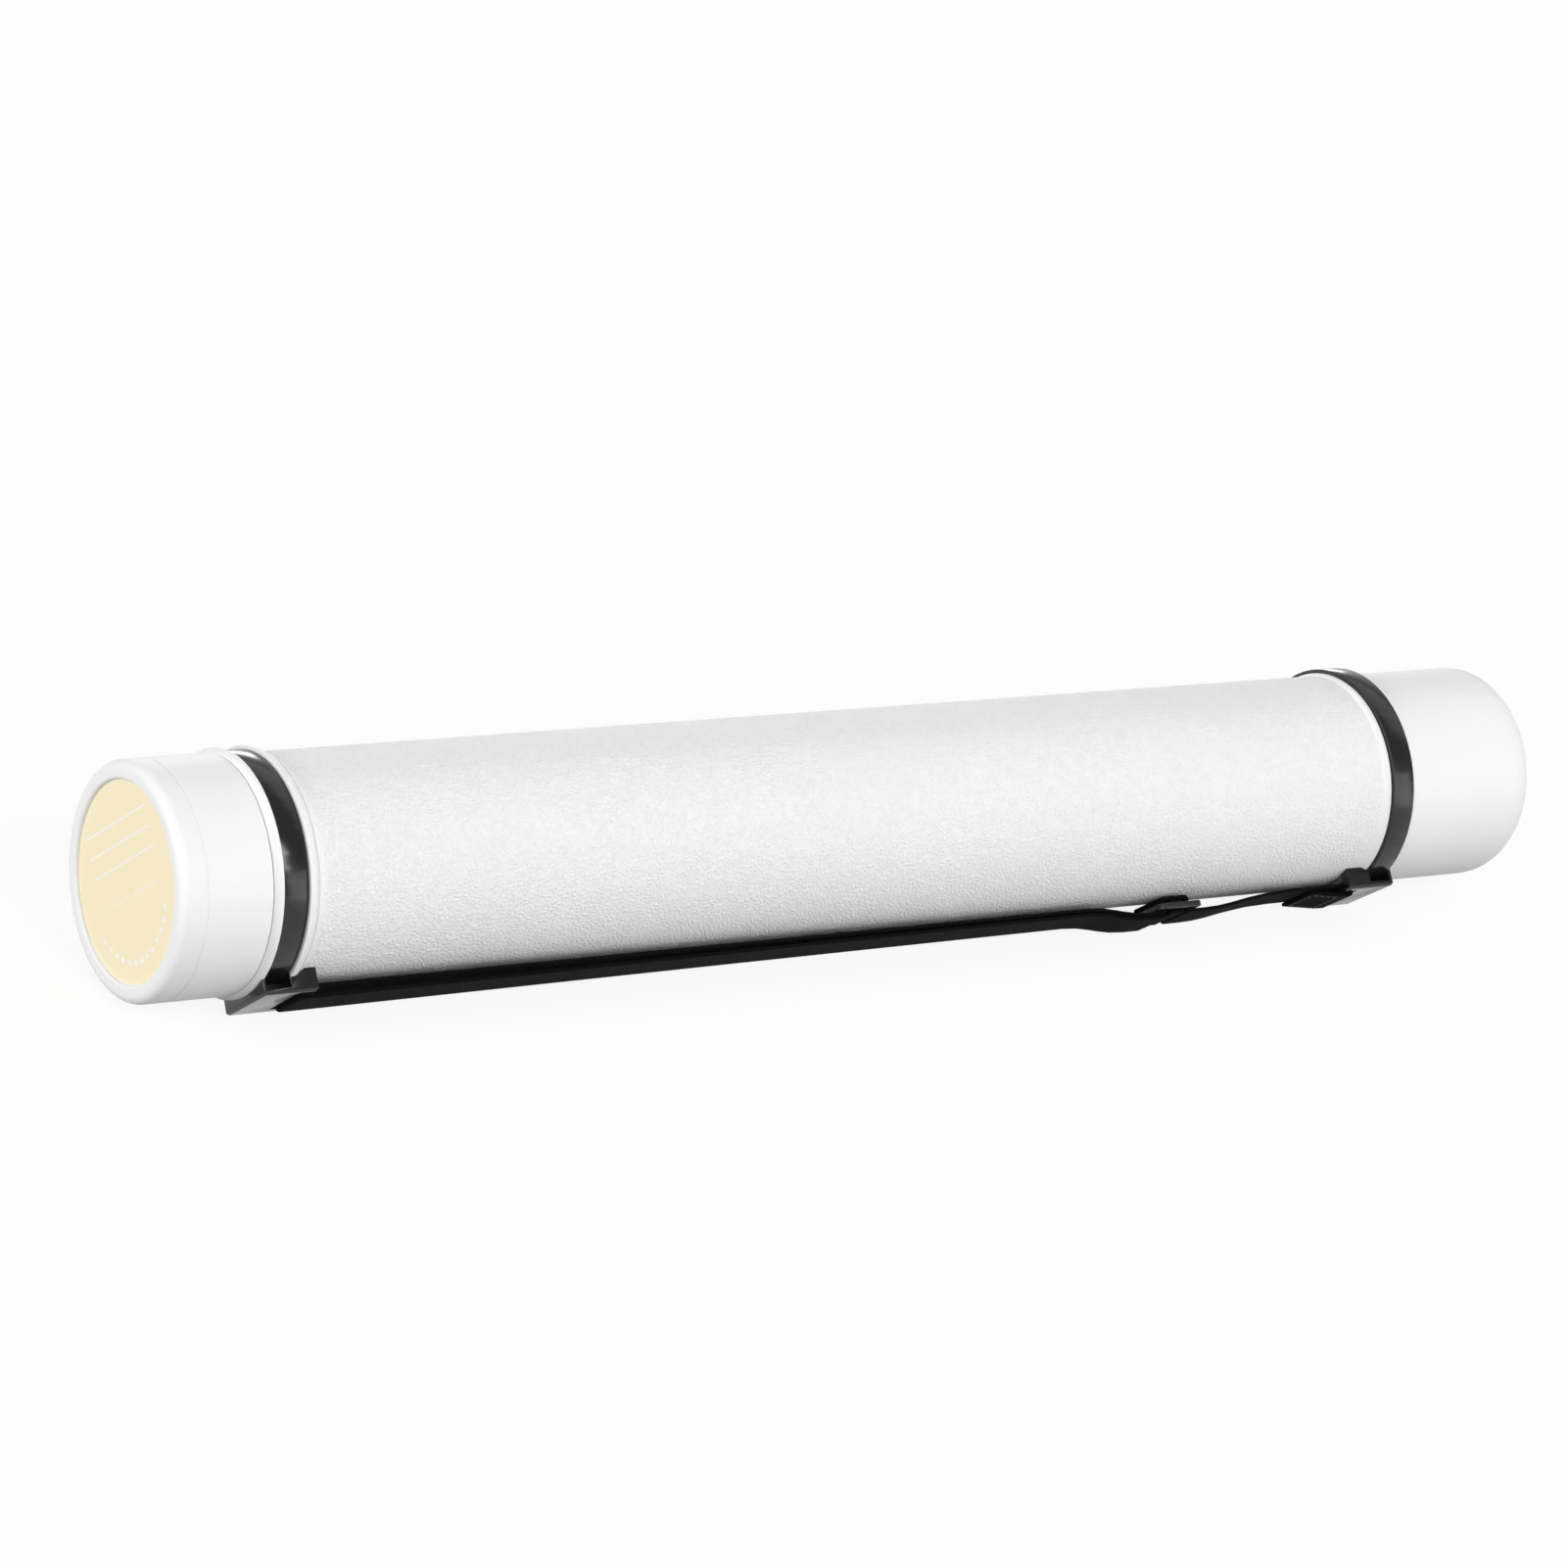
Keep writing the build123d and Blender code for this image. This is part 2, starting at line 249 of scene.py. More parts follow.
def rounded_line(corners, arc_step=radians(15), support=0.25 * MM):
    """Points of a line whose corners are rounded, each corner given as (x, r, radius).

    An arc touches both runs at radius * tan(turn / 2) from its corner. A point on each run just outside the
    arc keeps the run's shading straight, nearer where the arcs leave little of the run. A corner with no
    radius is kept as it is.
    """
    table = np.array(corners, dtype=float)
    places, radii = table[:, :2], table[:, 2]
    runs = np.diff(places, axis=0)
    lengths = np.linalg.norm(runs, axis=1)
    ways = runs / lengths[:, None]
    turns = np.arccos(np.clip(np.sum(ways[:-1] * ways[1:], axis=1), -1, 1))
    reaches = np.concatenate([[0], radii[1:-1] * np.tan(turns / 2), [0]])
    spare = np.clip(0.3 * (lengths - reaches[:-1] - reaches[1:]), 0, support)
    points = [places[0]]
    for number, turn in enumerate(turns, start=1):
        here, radius = places[number], radii[number]
        into, out = ways[number - 1], ways[number]
        if radius == 0 or turn < 1e-4:
            points.append(here)
            continue
        side = np.sign(into[0] * out[1] - into[1] * out[0])
        start = here - reaches[number] * into
        centre = start + side * radius * np.array([-into[1], into[0]])
        angle = side * np.linspace(0, turn, max(3, ceil(turn / arc_step) + 1))
        spoke = start - centre
        arc = centre + np.stack([
            spoke[0] * np.cos(angle) - spoke[1] * np.sin(angle),
            spoke[0] * np.sin(angle) + spoke[1] * np.cos(angle),
        ], axis=1)
        points += [start - spare[number - 1] * into, *arc, arc[-1] + spare[number] * out]
    points.append(places[-1])
    return np.array(points)


def bead(foot, crest, power=BEAD_POWER, steps=9):
    """Corners up a bead's flank, from foot to crest: height = rise * (1 - (1 - t) ** power), t from 0 to 1.

    The first corner is on the level just before the foot, and keeps that level's shading straight.
    """
    t = np.linspace(0, 1, steps)[:-1]
    x = foot[0] + t * (crest[0] - foot[0])
    r = foot[1] + (crest[1] - foot[1]) * (1 - (1 - t) ** power)
    before = foot[0] + np.sign(foot[0] - crest[0]) * BEAD_SUPPORT
    return [(before, foot[1], 0), *((a, b, 0) for a, b in zip(x, r))]


def groove(edges, crest, edge_radius):
    """Corners down into a band's groove, along its floor and up again."""
    near, far = edges
    return [
        (near, crest, edge_radius), (near, TUBE_RADIUS, SOFT_CORNER),
        (far, TUBE_RADIUS, SOFT_CORNER), (far, crest, edge_radius),
    ]


def level(start_x, end_x, radius, step):
    """Corners at even steps along a level run."""
    count = ceil(abs(end_x - start_x) / step)
    return [(x, radius, 0) for x in np.linspace(start_x, end_x, count + 1)]


def thread(x, angle):
    """Height of the thread's ridge at a place.

    It is a helix of even pitch, full near its line and nothing past its flanks. The nearest turn at that
    angle is angle / 2pi plus a whole number, and the ridge fades out over its ends.
    """
    turn_share = angle / (2 * pi)
    turn = np.round((x - THREAD_START_X) / THREAD_PITCH - turn_share) + turn_share
    off = np.abs(x - THREAD_START_X - turn * THREAD_PITCH)
    ridge = np.clip((THREAD_HALF_WIDTH + THREAD_FLANK - off) / THREAD_FLANK, 0, 1)
    fade = np.clip(np.minimum(turn, THREAD_TURNS - turn) / THREAD_FADE, 0, 1)
    return THREAD_HEIGHT * ridge * ridge * (3 - 2 * ridge) * fade


def grid_faces(rows, columns):
    """Quads between the rows of a grid whose rows close on themselves."""
    row, column = np.meshgrid(np.arange(rows - 1), np.arange(columns), indexing="ij")
    beside = (column + 1) % columns
    corners = [
        row * columns + column, (row + 1) * columns + column,
        (row + 1) * columns + beside, row * columns + beside,
    ]
    return np.stack(corners, axis=-1).reshape(-1, 4)


@contextmanager
def opened(mesh):
    """Mesh opened for editing and written back at the end."""
    work = bmesh.new()
    work.from_mesh(mesh)
    yield work
    work.to_mesh(mesh)
    work.free()


def vertex_places(mesh):
    """Places of a mesh's vertices, one row each."""
    places = np.zeros(len(mesh.vertices) * 3)
    mesh.vertices.foreach_get("co", places)
    return places.reshape(-1, 3)


def add_object(name, data):
    """Object at the origin, linked into the scene."""
    holder = bpy.data.objects.new(name, data)
    bpy.context.scene.collection.objects.link(holder)
    return holder


def add_piece(name, mesh, material, smooth=True):
    """Object with a mesh in one material."""
    mesh.materials.clear()
    mesh.materials.append(material)
    mesh.polygons.foreach_set("use_smooth", np.full(len(mesh.polygons), smooth))
    return add_object(name, mesh)


def new_piece(name, vertices, faces, material, merge=0.0, smooth=True):
    """Object with a new mesh of these vertices and faces, doubles merged within a distance."""
    mesh = bpy.data.meshes.new(name)
    mesh.from_pydata(vertices.tolist(), [], [list(face) for face in faces])
    if merge > 0:
        with opened(mesh) as work:
            bmesh.ops.remove_doubles(work, verts=work.verts, dist=merge)
    return add_piece(name, mesh, material, smooth)


def turned(name, profile, material, ridge):
    """Surface of revolution about X: (x, r cos angle, r sin angle) for each profile point and angle.

    ridge gives what is added to the radius at each x, radius and angle. The profile's signed area says which
    way its faces have to run to point outwards.
    """
    angle = np.linspace(0, 2 * pi, AROUND, endpoint=False)[None, :]
    x = np.repeat(profile[:, :1], AROUND, axis=1)
    r = np.repeat(profile[:, 1:], AROUND, axis=1)
    r = r + ridge(x, r, angle)
    vertices = np.stack([x, r * np.cos(angle), r * np.sin(angle)], axis=-1).reshape(-1, 3)
    after = np.roll(profile, -1, axis=0)
    area = np.sum(profile[:, 0] * after[:, 1] - after[:, 0] * profile[:, 1])
    faces = grid_faces(len(profile), AROUND)
    if area < 0:
        faces = faces[:, ::-1]
    return new_piece(name, vertices, faces, material, merge=MERGE_WITHIN)


def hung(x, depth, across):
    """Places turned to where the brackets sit.

    They are given along the tube, in depth from its axis and across the strap.
    """
    y = -depth * sin(BRACKET_ANGLE) - across * cos(BRACKET_ANGLE)
    z = -depth * cos(BRACKET_ANGLE) + across * sin(BRACKET_ANGLE)
    return np.stack([x, y, z], axis=-1)


def upright(place):
    """A place or direction given with the tube upright, turned about the tube to the way it rests."""
    turn = radians(CAMERA_TURN)
    x, y, z = place
    return Vector((x, y * cos(turn) + z * sin(turn), z * cos(turn) - y * sin(turn)))


# Node groups

def feed(tree, socket, value):
    """Joins a socket to another one, or sets it to a plain value."""
    if isinstance(value, bpy.types.NodeSocket):
        tree.links.new(value, socket)
    else:
        socket.default_value = value


def node_group(name, inputs, outputs):
    """Empty shader group with named sockets, and its input and output nodes."""
    group = bpy.data.node_groups.new(name, "ShaderNodeTree")
    for socket, kind, value in inputs:
        made = group.interface.new_socket(name=socket, in_out="INPUT", socket_type=kind)
        if value is not None:
            made.default_value = value
    for socket in outputs:
        group.interface.new_socket(name=socket, in_out="OUTPUT", socket_type="NodeSocketFloat")
    return group, group.nodes.new("NodeGroupInput"), group.nodes.new("NodeGroupOutput")


def math_node(tree, operation, *values):
    """Math node fed by sockets or plain numbers, returning its result."""
    node = tree.nodes.new("ShaderNodeMath")
    node.operation = operation
    for socket, value in zip(node.inputs, values):
        feed(tree, socket, value)
    return node.outputs[0]


def noise_value(tree, place, scale, detail=2.0):
    """Noise texture's value at a place, from 0 to 1."""
    node = tree.nodes.new("ShaderNodeTexNoise")
    node.inputs["Detail"].default_value = detail
    feed(tree, node.inputs["Vector"], place)
    feed(tree, node.inputs["Scale"], scale)
    return node.outputs["Fac"]


def ranged(tree, value, low, high):
    """Value from 0 to 1 spread between two limits."""
    node = tree.nodes.new("ShaderNodeMapRange")
    for socket, source in (("Value", value), ("To Min", low), ("To Max", high)):
        feed(tree, node.inputs[socket], source)
    return node.outputs["Result"]


def make_mottle_group():
    """Slow change over a moulded surface: a broad and a fine noise, spread between Low and High."""
    group, source, result = node_group(
        "Moulded mottle",
        [("Place", "NodeSocketVector", None), ("Scale", "NodeSocketFloat", 40.0),
         ("Low", "NodeSocketFloat", 0.0), ("High", "NodeSocketFloat", 1.0)],
        ["Value"],
    )
    here, scale = source.outputs["Place"], source.outputs["Scale"]
    broad = noise_value(group, here, scale)
    fine = noise_value(group, here, math_node(group, "MULTIPLY", scale, FINE_MOTTLE))
    broad_part = math_node(group, "MULTIPLY", broad, BROAD_SHARE)
    both = math_node(group, "MULTIPLY_ADD", fine, 1 - BROAD_SHARE, broad_part)
    spread = ranged(group, both, source.outputs["Low"], source.outputs["High"])
    group.links.new(spread, result.inputs["Value"])
    return group


def make_grain_group():
    """Leather grain: cells of uneven size with creases between them, and a fine roughness on top.

    The height is a cell's rounded top, the distance to its edge clipped and smoothed, plus a little noise.
    """
    group, source, result = node_group(
        "Leather grain",
        [("Place", "NodeSocketVector", None), ("Cells per metre", "NodeSocketFloat", 600.0),
         ("Fine share", "NodeSocketFloat", 0.3)],
        ["Height"],
    )
    here = source.outputs["Place"]
    wander = group.nodes.new("ShaderNodeTexNoise")
    wander.inputs["Scale"].default_value = 300.0
    group.links.new(here, wander.inputs["Vector"])
    push = group.nodes.new("ShaderNodeVectorMath")
    push.operation = "MULTIPLY_ADD"
    push.inputs[1].default_value = (GRAIN_WANDER, GRAIN_WANDER, GRAIN_WANDER)
    group.links.new(wander.outputs["Color"], push.inputs[0])
    group.links.new(here, push.inputs[2])
    cells = group.nodes.new("ShaderNodeTexVoronoi")
    cells.feature = "DISTANCE_TO_EDGE"
    group.links.new(push.outputs["Vector"], cells.inputs["Vector"])
    group.links.new(source.outputs["Cells per metre"], cells.inputs["Scale"])
    top = group.nodes.new("ShaderNodeMapRange")
    top.interpolation_type = "SMOOTHSTEP"
    top.inputs["From Max"].default_value = GRAIN_CREASE
    group.links.new(cells.outputs["Distance"], top.inputs["Value"])
    fine = noise_value(group, here, scale=1500.0, detail=3.0)
    height = math_node(group, "MULTIPLY_ADD", fine, source.outputs["Fine share"], top.outputs["Result"])
    group.links.new(height, result.inputs["Height"])
    return group


def make_weave_group():
    """Plain-woven webbing from the strap's own map, whose units u and v are threads along and across.

    A crossing of threads is |sin(pi u) * sin(pi v)|, rounded by a power, and a rib is |sin(pi v)|. The height
    is a share of each. The shade follows the height, broken up by a noise: painted shade between the threads
    and painted light on their tops, made uneven by a random tone.
    """
    group, source, result = node_group(
        "Webbing weave", [("Threads", "NodeSocketVector", None)], ["Height", "Shade"])
    split = group.nodes.new("ShaderNodeSeparateXYZ")
    group.links.new(source.outputs["Threads"], split.inputs[0])
    along, across = (
        math_node(group, "SINE", math_node(group, "MULTIPLY", split.outputs[axis], pi)) for axis in "XY"
    )
    over = math_node(group, "ABSOLUTE", math_node(group, "MULTIPLY", along, across))
    crossing = math_node(group, "MULTIPLY", math_node(group, "POWER", over, CROSSING_POWER), CROSSING_SHARE)
    rib = math_node(group, "ABSOLUTE", across)
    height = math_node(group, "MULTIPLY_ADD", rib, 1 - CROSSING_SHARE, crossing)
    group.links.new(height, result.inputs["Height"])
    fuzz = noise_value(group, source.outputs["Threads"], scale=1.7, detail=3.0)
    # painted shade between the threads and painted light on their tops, broken up by a random tone
    shade = math_node(group, "MULTIPLY", ranged(group, height, 0.35, 1.0), ranged(group, fuzz, 0.7, 1.2))
    group.links.new(shade, result.inputs["Shade"])
    return group


MOTTLE = make_mottle_group()
GRAIN = make_grain_group()
WEAVE = make_weave_group()


# Materials

def new_material(name):
    """Material with its tree, its shader and a texture coordinate node."""
    material = bpy.data.materials.new(name)
    material.use_nodes = True
    tree = material.node_tree
    shader = tree.nodes["Principled BSDF"]
    place = tree.nodes.new("ShaderNodeTexCoord")
    return material, tree, shader, place


def place_group(tree, group, **values):
    """Group node in a material, its inputs fed by sockets or set to plain numbers."""
    node = tree.nodes.new("ShaderNodeGroup")
    node.node_tree = group
    for socket, value in values.items():
        feed(tree, node.inputs[socket.replace("_", " ")], value)
    return node


def mottled(tree, here, scale, low=0.0, high=1.0):
    """Mottle's value at a place, between two limits."""
    return place_group(tree, MOTTLE, Place=here, Scale=scale, Low=low, High=high).outputs["Value"]


def mixed_colour(tree, shader, share, tones):
    """Base colour between two tones by a share that changes over the surface."""
    node = tree.nodes.new("ShaderNodeMix")
    node.data_type = "RGBA"
    colours = [socket for socket in node.inputs if socket.type == "RGBA"]
    for socket, tone in zip(colours, tones):
        socket.default_value = (*tone, 1)
    tree.links.new(share, node.inputs["Factor"])
    mixed = next(socket for socket in node.outputs if socket.type == "RGBA")
    tree.links.new(mixed, shader.inputs["Base Color"])


def bumped(tree, shader, height, distance):
    """Bump of a height over a distance in metres, into the shader's normal."""
    node = tree.nodes.new("ShaderNodeBump")
    node.inputs["Strength"].default_value = 1.0
    node.inputs["Distance"].default_value = distance
    tree.links.new(height, node.inputs["Height"])
    tree.links.new(node.outputs["Normal"], shader.inputs["Normal"])


def make_smooth_plastic():
    """Smooth white moulded plastic with a faint ripple."""
    material, tree, shader, place = new_material("smooth_plastic")
    here = place.outputs["Object"]
    mixed_colour(tree, shader, mottled(tree, here, scale=30.0), WHITE_TONES)
    tree.links.new(mottled(tree, here, scale=90.0, low=0.45, high=0.58), shader.inputs["Roughness"])
    bumped(tree, shader, noise_value(tree, here, scale=220.0), distance=0.02 * MM)
    return material


def make_grained_plastic():
    """White moulded plastic with a leather grain where the piece's grain attribute says so."""
    material, tree, shader, place = new_material("grained_plastic")
    here = place.outputs["Object"]
    mixed_colour(tree, shader, mottled(tree, here, scale=30.0), WHITE_TONES)
    mask = tree.nodes.new("ShaderNodeAttribute")
    mask.attribute_name = "grain"
    rough = mottled(tree, here, scale=90.0, low=0.45, high=0.58)
    duller = math_node(tree, "MULTIPLY_ADD", mask.outputs["Fac"], GRAIN_DULLNESS, rough)
    tree.links.new(duller, shader.inputs["Roughness"])
    grain = place_group(tree, GRAIN, Place=here, Cells_per_metre=GRAIN_CELLS, Fine_share=GRAIN_FINE_SHARE)
    height = math_node(tree, "MULTIPLY", grain.outputs["Height"], mask.outputs["Fac"])
    bumped(tree, shader, height, distance=GRAIN_DEPTH)
    return material


def make_black_plastic(name, roughness, marks):
    """Black moulded plastic with an uneven gloss and fine rub marks along the tube."""
    material, tree, shader, place = new_material(name)
    here = place.outputs["Object"]
    mixed_colour(tree, shader, mottled(tree, here, scale=60.0), BLACK_TONES)
    gloss = mottled(tree, here, scale=160.0, low=roughness - 0.05, high=roughness + 0.07)
    stretch = tree.nodes.new("ShaderNodeMapping")
    stretch.inputs["Scale"].default_value = (120.0, 1500.0, 1500.0)
    tree.links.new(here, stretch.inputs["Vector"])
    rubbed = noise_value(tree, stretch.outputs["Vector"], scale=1.0, detail=4.0)
    rough = math_node(tree, "MULTIPLY_ADD", rubbed, marks, gloss)
    tree.links.new(rough, shader.inputs["Roughness"])
    bumped(tree, shader, noise_value(tree, here, scale=900.0), distance=0.01 * MM)
    return material


def make_label_paper():
    """Cream paper with a faint fibre."""
    material, tree, shader, place = new_material("label_paper")
    here = place.outputs["Object"]
    mixed_colour(tree, shader, mottled(tree, here, scale=110.0), PAPER_TONES)
    tree.links.new(mottled(tree, here, scale=300.0, low=0.5, high=0.62), shader.inputs["Roughness"])
    bumped(tree, shader, noise_value(tree, here, scale=1800.0), distance=0.01 * MM)
    return material


def make_label_ink():
    """Pale ink of the ruled lines and ornaments, a little uneven."""
    material, tree, shader, place = new_material("label_ink")
    mixed_colour(tree, shader, mottled(tree, place.outputs["Object"], scale=400.0), INK_TONES)
    shader.inputs["Roughness"].default_value = 0.5
    return material


def make_webbing():
    """Black woven webbing, with painted light on the thread tops and painted shade between them."""
    material, tree, shader, place = new_material("webbing")
    weave = place_group(tree, WEAVE, Threads=place.outputs["UV"])
    # base colour painted lighter on the thread tops and darker between them: painted light and shade
    mixed_colour(tree, shader, weave.outputs["Shade"], WEBBING_TONES)
    shader.inputs["Roughness"].default_value = 0.8
    shader.inputs["Specular IOR Level"].default_value = 0.03
    shader.inputs["Sheen Weight"].default_value = 0.01
    bumped(tree, shader, weave.outputs["Height"], distance=WEAVE_DEPTH)
    return material


def make_sewing_thread():
    """Black sewing thread, a little uneven."""
    material, tree, shader, place = new_material("sewing_thread")
    mixed_colour(tree, shader, mottled(tree, place.outputs["Object"], scale=900.0), SEWING_TONES)
    shader.inputs["Roughness"].default_value = 0.55
    return material


# Tube and cap

def tube_outside():
    """Corners of the tube's outside, from the base's middle over beads and grooves to the neck's mouth."""
    crest = TUBE_HIGH.z
    shoulder_radius = CAP_HIGH.z
    ledge = TUBE_RADIUS + INNER_LEDGE_RISE
    return [
        (0, 0, 0), (0, SMOOTH_END_RADIUS, BASE_FILLET),
        *bead((REAR_FEET[0], SMOOTH_END_RADIUS), (REAR_GROOVE[0], REAR_CREST)),
        *groove(REAR_GROOVE, REAR_CREST, SOFT_CORNER),
        *bead((REAR_FEET[1], TUBE_RADIUS), (REAR_GROOVE[1], REAR_CREST))[::-1],
        (REAR_FEET[1] - GRAIN_EDGE, TUBE_RADIUS, 0), (INNER_BEAD_FOOT + GRAIN_EDGE, TUBE_RADIUS, 0),
        (INNER_BEAD_FOOT, TUBE_RADIUS, SOFT_CORNER), (INNER_BEAD_FOOT - INNER_LEDGE_RISE, ledge, SOFT_EDGE),
        (INNER_LEDGE_X + FINE_LINE_WIDTH, ledge, SOFT_CORNER / 2),
        (INNER_LEDGE_X + FINE_LINE_WIDTH / 2, ledge - FINE_LINE_DEPTH, SOFT_CORNER / 4),
        *bead((INNER_LEDGE_X, ledge), (FRONT_GROOVE[0], crest), power=INNER_BEAD_POWER)[1:],
        *groove(FRONT_GROOVE, crest, SOFT_EDGE),
        *bead((SHOULDER_X, shoulder_radius), (FRONT_GROOVE[1], crest))[:1:-1],
        (SHOULDER_X, shoulder_radius, SOFT_CORNER), (SHOULDER_X, NECK_RADIUS, SOFT_EDGE),
        *level(SHOULDER_X - THREAD_MARGIN, TUBE_LOW.x + THREAD_MARGIN, NECK_RADIUS, THREAD_ROW),
    ]


def tube_inside():
    """Corners of the tube's mouth and inside, from the neck back to the middle of the base."""
    mouth_x = TUBE_LOW.x
    neck_end = FRONT_GROOVE[1]
    taper = BORE_RADIUS - NECK_BORE
    return [
        (mouth_x, NECK_RADIUS, SOFT_EDGE), (mouth_x, NECK_BORE, SOFT_EDGE),
        (neck_end, NECK_BORE, SOFT_EDGE), (neck_end + taper, BORE_RADIUS, SOFT_EDGE),
        (-BASE_WALL - INNER_CORNER, BORE_RADIUS, INNER_CORNER),
        (-BASE_WALL, BORE_RADIUS - INNER_CORNER, INNER_CORNER), (-BASE_WALL, 0, 0),
    ]


def neck_thread(x, r, angle):
    """Ridge on the outside of the neck."""
    on_neck = (x < SHOULDER_X) & (np.abs(r - NECK_RADIUS) < NEARLY)
    return np.where(on_neck, thread(x, angle), 0)


def skirt_thread(x, r, angle):
    """Ridge inside the cap's skirt, between the turns of the neck's."""
    on_skirt = np.abs(r - CAP_BORE) < NEARLY
    return np.where(on_skirt, -thread(x + THREAD_PITCH / 2, angle), 0)


def make_tube():
    """Hollow body with its base, beads, grooves, shoulder and threaded neck, and where its grain lies."""
    profile = rounded_line(tube_outside() + tube_inside())
    tube = turned("tube_shell", profile, make_grained_plastic(), neck_thread)
    x, y, z = vertex_places(tube.data).T
    inward = np.minimum(x - INNER_BEAD_FOOT, REAR_FEET[1] - x)
    outer = np.hypot(y, z) > (TUBE_RADIUS + BORE_RADIUS) / 2
    grain = np.where(outer, np.clip(inward / GRAIN_EDGE, 0, 1), 0)
    tube.data.attributes.new("grain", "FLOAT", "POINT").data.foreach_set("value", grain.astype(np.float32))
    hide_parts("tube_body")
    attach(tube, "tube")


def make_cap():
    """Cap with its sunk face, rounded rim, fine groove and threaded skirt, outside and inside."""
    rim_x, end_x, radius = CAP_LOW.x, CAP_HIGH.x, CAP_HIGH.z
    groove_floor = (CAP_GROOVE_X + CAP_GROOVE_WIDTH / 2, radius - CAP_GROOVE_DEPTH)
    profile = rounded_line([
        (RECESS_X, 0, 0), (RECESS_X, RECESS_RADIUS, SOFT_CORNER), (rim_x, RECESS_RADIUS, RECESS_EDGE),
        (rim_x, radius, CAP_EDGE_FILLET), (CAP_GROOVE_X, radius, SOFT_CORNER),
        (*groove_floor, SOFT_CORNER / 2), (CAP_GROOVE_X + CAP_GROOVE_WIDTH, radius, SOFT_CORNER),
        (end_x, radius, SOFT_EDGE), (end_x, CAP_BORE, SOFT_EDGE),
        *level(end_x - THREAD_MARGIN, CAP_ROOF_X + THREAD_MARGIN, CAP_BORE, THREAD_ROW),
        (CAP_ROOF_X, CAP_BORE, CAP_INNER_FILLET), (CAP_ROOF_X, 0, 0),
    ])
    cap = turned("cap_shell", profile, make_smooth_plastic(), skirt_thread)
    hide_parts("screw_cap")
    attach(cap, "cap")


# Label

def stadium(length, width, steps=8):
    """Outline of a bar with round ends, as (along, across) points.

    A bar as long as it is wide is a round dot.
    """
    angle = np.linspace(-pi / 2, pi / 2, steps)
    half = max(length - width, 0) / 2
    end = np.stack([half + width / 2 * np.cos(angle), width / 2 * np.sin(angle)], axis=1)
    outline = np.concatenate([end, -end])
    gaps = np.linalg.norm(np.roll(outline, -1, axis=0) - outline, axis=1)
    return outline[gaps > NEARLY]


def print_shapes():
    """Outlines of the print: ruled lines, a row of dots and an arc of dashes, each a bar with round ends.

    A dash on the arc is the same bar bent round: along becomes an angle and across a radius.
    """
    shapes = [stadium(2 * RULED_HALF_LENGTH, RULED_WIDTH) + (0, across) for across in RULED_LINES]
    for along in np.linspace(-DOTTED_HALF_LENGTH, DOTTED_HALF_LENGTH, DOT_COUNT):
        shapes.append(stadium(DOT_WIDTH, DOT_WIDTH) + (along, DOTTED_LINE))
    dash_pitch = 2 * radians(ARC_HALF_ANGLE) / ARC_DASHES
    dash = stadium(ARC_DASH_SHARE * dash_pitch * ARC_RADIUS, ARC_WIDTH)
    for number in range(ARC_DASHES):
        angle = -pi / 2 + (number - (ARC_DASHES - 1) / 2) * dash_pitch + dash[:, 0] / ARC_RADIUS
        radius = ARC_RADIUS + dash[:, 1]
        shapes.append(np.stack([radius * np.cos(angle), radius * np.sin(angle)], axis=1))
    return shapes


def make_label_print():
    """Thin raised ink: each outline of the print as a low wall with a floor and a top."""
    tilt = radians(LABEL_TILT + CAMERA_TURN)
    vertices, faces = [], []
    for shape in print_shapes():
        along, across = shape.T
        y = -along * cos(tilt) + across * sin(tilt)
        z = along * sin(tilt) + across * cos(tilt)
        count, first = len(shape), sum(map(len, vertices))
        low = np.stack([np.full(count, LABEL_LOW.x), y, z], axis=1)
        high = low - (INK_HEIGHT, 0, 0)
        ring = np.arange(count)
        beside = (ring + 1) % count
        vertices.append(np.concatenate([low, high]))
        faces += (first + np.stack([ring, beside, beside + count, ring + count], axis=1)).tolist()
        faces += [(first + count + ring).tolist(), (first + ring[::-1]).tolist()]
    ink = new_piece("label_print", np.concatenate(vertices), faces, make_label_ink(), smooth=False)
    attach(ink, "cap")


def dress_label():
    """The label's own solid gets its paper and its print."""
    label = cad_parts["cap_label"]
    label.data.materials.clear()
    label.data.materials.append(make_label_paper())
    make_label_print()


# Bands and slider

def rounded_copy(node, name, material, width, ring_radius=BAND_RADIUS):
    """Copy of a solid's mesh, merged, with its edges rounded by a bevel.

    Points on the ring's outer face are scaled towards the axis, to the radius given.
    """
    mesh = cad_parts[node].data.copy()
    mesh.name = name
    with opened(mesh) as work:
        bmesh.ops.remove_doubles(work, verts=work.verts, dist=NEARLY)
        bmesh.ops.dissolve_limit(work, angle_limit=radians(FLAT_ANGLE), verts=work.verts, edges=work.edges)
    if ring_radius < BAND_RADIUS:
        places = vertex_places(mesh)
        on_ring = np.abs(np.hypot(places[:, 1], places[:, 2]) - BAND_RADIUS) < RING_TOLERANCE
        places[on_ring, 1:] *= ring_radius / BAND_RADIUS
        mesh.vertices.foreach_set("co", places.ravel())
    piece = add_piece(name, mesh, material)
    bevel = piece.modifiers.new("Rounded edges", "BEVEL")
    bevel.width = width
    bevel.segments = EDGE_SEGMENTS
    bevel.limit_method = "ANGLE"
    bevel.angle_limit = radians(EDGE_ANGLE)
    bevel.harden_normals = True
    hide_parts(node)
    return piece


